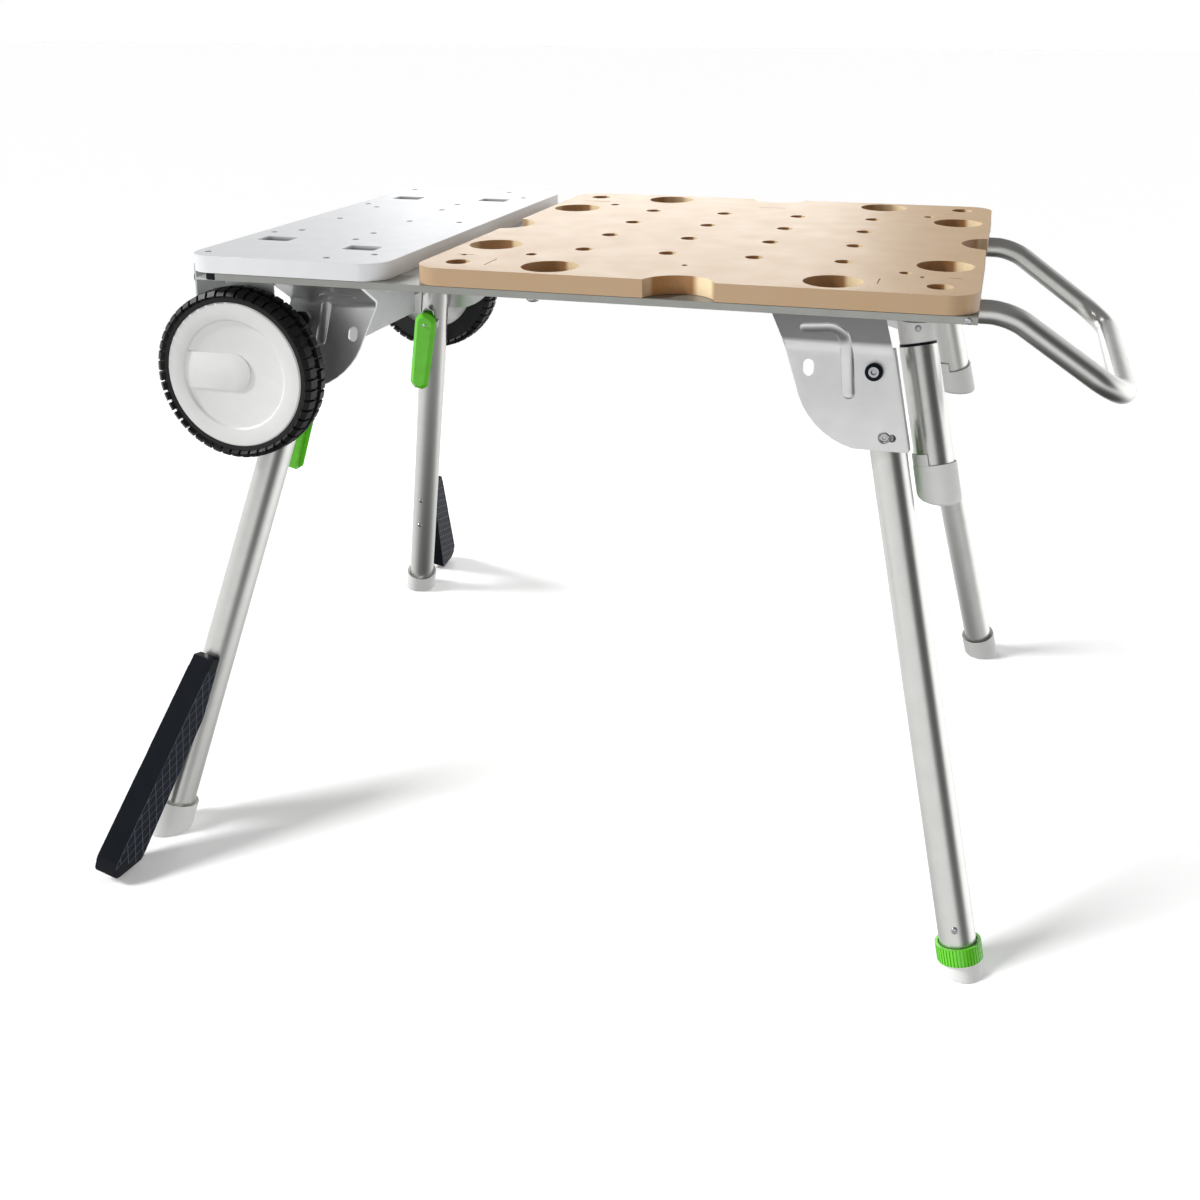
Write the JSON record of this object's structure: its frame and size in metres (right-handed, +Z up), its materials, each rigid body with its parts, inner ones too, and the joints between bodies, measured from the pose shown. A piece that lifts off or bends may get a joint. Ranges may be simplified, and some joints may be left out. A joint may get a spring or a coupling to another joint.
{
  "type": "folding saw stand",
  "caption": "Folding saw stand: perforated wooden work board and white side board on rails, splayed folding tube legs with latches and pedals, handle loop and transport wheels.",
  "frame": {"origin": "on the floor, under the middle of the whole stand's length and width", "axes": "+X along the stand from the wheels to the handle, +Y to the rear, +Z up"},
  "size_m": [1.071, 0.89, 0.674],
  "materials": {
    "mdf": "bare medium-density fibreboard, sanded",
    "white_laminate": "near-white laminate",
    "grey_powder_coat": "light grey powder coat",
    "silver_tube_coat": "silver-grey coat on steel tube",
    "light_grey_plastic": "moulded light grey plastic",
    "green_plastic": "moulded green plastic",
    "black_plastic": "moulded blue-black plastic",
    "tyre_rubber": "black rubber",
    "zinc_plated_steel": "zinc plated"
  },
  "bodies": {
    "frame": {"axle": "zinc_plated_steel", "front_end_buffer": "black_plastic", "front_left_gusset": "grey_powder_coat", "front_left_pivot_bolt": "zinc_plated_steel", "front_rail": "grey_powder_coat", "front_rail_plug": "black_plastic", "front_right_gusset": "grey_powder_coat", "front_right_pivot_bolt": "zinc_plated_steel", "front_stub_cap": "light_grey_plastic", "front_stub_collar": "light_grey_plastic", "front_stub_tube": "silver_tube_coat", "front_wheel_bracket": "grey_powder_coat", "handle": "silver_tube_coat", "left_cross_rail": "grey_powder_coat", "middle_cross_rail": "grey_powder_coat", "rear_end_buffer": "black_plastic", "rear_left_gusset": "grey_powder_coat", "rear_left_pivot_bolt": "zinc_plated_steel", "rear_rail": "grey_powder_coat", "rear_rail_plug": "black_plastic", "rear_right_gusset": "grey_powder_coat", "rear_right_pivot_bolt": "zinc_plated_steel", "rear_stub_cap": "light_grey_plastic", "rear_stub_collar": "light_grey_plastic", "rear_stub_tube": "silver_tube_coat", "rear_wheel_bracket": "grey_powder_coat", "right_cross_rail": "grey_powder_coat", "side_board": "white_laminate", "work_board": "mdf"},
    "front_right_leg": {"front_right_leg_tube": "silver_tube_coat", "front_right_latch_rivet": "zinc_plated_steel"},
    "levelling_ring": {"levelling_ring": "green_plastic"},
    "levelling_foot": {"levelling_foot": "light_grey_plastic"},
    "front_right_latch": {"front_right_latch_lever": "green_plastic"},
    "front_right_lock": {"front_right_lock_pin": "zinc_plated_steel"},
    "rear_right_leg": {"rear_right_leg_tube": "silver_tube_coat", "rear_right_latch_rivet": "zinc_plated_steel", "rear_right_foot": "light_grey_plastic"},
    "rear_right_latch": {"rear_right_latch_lever": "green_plastic"},
    "rear_right_lock": {"rear_right_lock_pin": "zinc_plated_steel"},
    "front_left_leg": {"front_left_leg_tube": "silver_tube_coat", "front_left_latch_rivet": "zinc_plated_steel", "front_left_pedal": "black_plastic", "front_left_foot": "light_grey_plastic"},
    "front_left_latch": {"front_left_latch_lever": "green_plastic"},
    "front_left_lock": {"front_left_lock_pin": "zinc_plated_steel"},
    "rear_left_leg": {"rear_left_leg_tube": "silver_tube_coat", "rear_left_latch_rivet": "zinc_plated_steel", "rear_left_pedal": "black_plastic", "rear_left_foot": "light_grey_plastic"},
    "rear_left_latch": {"rear_left_latch_lever": "green_plastic"},
    "rear_left_lock": {"rear_left_lock_pin": "zinc_plated_steel"},
    "front_wheel": {"front_tyre": "tyre_rubber", "front_hub": "light_grey_plastic", "front_wheel_cover": "light_grey_plastic"},
    "rear_wheel": {"rear_tyre": "tyre_rubber", "rear_hub": "light_grey_plastic", "rear_wheel_cover": "light_grey_plastic"}
  },
  "joints": [
    {"name": "front_right_fold", "type": "hinge", "parent": "frame", "child": "front_right_leg", "pos_m": [0.27854, -0.219, 0.579], "axis": [0, 0.9804, -0.1973], "range_deg": [0, 101.2]},
    {"name": "front_right_squeeze", "type": "hinge", "parent": "front_right_leg", "child": "front_right_latch", "pos_m": [0.29499, -0.20898, 0.49192], "axis": [-0.9811, -0.0382, -0.1897], "range_deg": [0, 9], "stiffness_Nm_per_rad": 1.5, "springref_deg": -11.46},
    {"name": "front_right_unlock", "type": "slide", "parent": "front_right_leg", "child": "front_right_lock", "axis": [0, 0.9804, -0.1973], "range_m": [0, 0.0022]},
    {"name": "levelling_turn", "type": "hinge", "parent": "front_right_leg", "child": "levelling_ring", "pos_m": [0.39504, -0.3355, 0], "axis": [0.1935, -0.1935, -0.9618], "range_deg": [0, 720]},
    {"name": "levelling_travel", "type": "slide", "parent": "front_right_leg", "child": "levelling_foot", "axis": [0.1935, -0.1935, -0.9618], "range_m": [0, 0.0079]},
    {"name": "rear_right_fold", "type": "hinge", "parent": "frame", "child": "rear_right_leg", "pos_m": [0.27854, 0.219, 0.579], "axis": [0, 0.9804, 0.1973], "range_deg": [0, 101.2]},
    {"name": "rear_right_squeeze", "type": "hinge", "parent": "rear_right_leg", "child": "rear_right_latch", "pos_m": [0.29499, 0.20898, 0.49192], "axis": [0.9811, -0.0382, 0.1897], "range_deg": [0, 9], "stiffness_Nm_per_rad": 1.5, "springref_deg": -11.46},
    {"name": "rear_right_unlock", "type": "slide", "parent": "rear_right_leg", "child": "rear_right_lock", "axis": [0, -0.9804, -0.1973], "range_m": [0, 0.0022]},
    {"name": "front_left_fold", "type": "hinge", "parent": "frame", "child": "front_left_leg", "pos_m": [-0.38146, -0.1704, 0.579], "axis": [0, -0.9623, 0.2719], "range_deg": [0, 90.7]},
    {"name": "front_left_squeeze", "type": "hinge", "parent": "front_left_leg", "child": "front_left_latch", "pos_m": [-0.39948, -0.167, 0.49172], "axis": [-0.9773, 0.0576, 0.204], "range_deg": [0, 9], "stiffness_Nm_per_rad": 1.5, "springref_deg": -11.46},
    {"name": "front_left_unlock", "type": "slide", "parent": "front_left_leg", "child": "front_left_lock", "axis": [0, 0.9623, -0.2719], "range_m": [0, 0.0022]},
    {"name": "rear_left_fold", "type": "hinge", "parent": "frame", "child": "rear_left_leg", "pos_m": [-0.38146, 0.1704, 0.579], "axis": [0, -0.9623, -0.2719], "range_deg": [0, 90.7]},
    {"name": "rear_left_squeeze", "type": "hinge", "parent": "rear_left_leg", "child": "rear_left_latch", "pos_m": [-0.39948, 0.167, 0.49172], "axis": [0.9773, 0.0576, -0.204], "range_deg": [0, 9], "stiffness_Nm_per_rad": 1.5, "springref_deg": -11.46},
    {"name": "rear_left_unlock", "type": "slide", "parent": "rear_left_leg", "child": "rear_left_lock", "axis": [0, -0.9623, -0.2719], "range_m": [0, 0.0022]},
    {"name": "front_wheel_spin", "type": "hinge", "parent": "frame", "child": "front_wheel", "pos_m": [-0.42656, -0.2527, 0.536], "axis": [0, 1, 0], "continuous": true},
    {"name": "rear_wheel_spin", "type": "hinge", "parent": "frame", "child": "rear_wheel", "pos_m": [-0.42656, 0.2527, 0.536], "axis": [0, 1, 0], "continuous": true}
  ],
  "couplings": [
    {"joint": "front_right_unlock", "follows": "front_right_squeeze", "m_per_rad": 0.0135},
    {"joint": "levelling_turn", "follows": "levelling_travel", "rad_per_m": 1570.8},
    {"joint": "rear_right_unlock", "follows": "rear_right_squeeze", "m_per_rad": 0.0135},
    {"joint": "front_left_unlock", "follows": "front_left_squeeze", "m_per_rad": 0.0135},
    {"joint": "rear_left_unlock", "follows": "rear_left_squeeze", "m_per_rad": 0.0135}
  ]
}
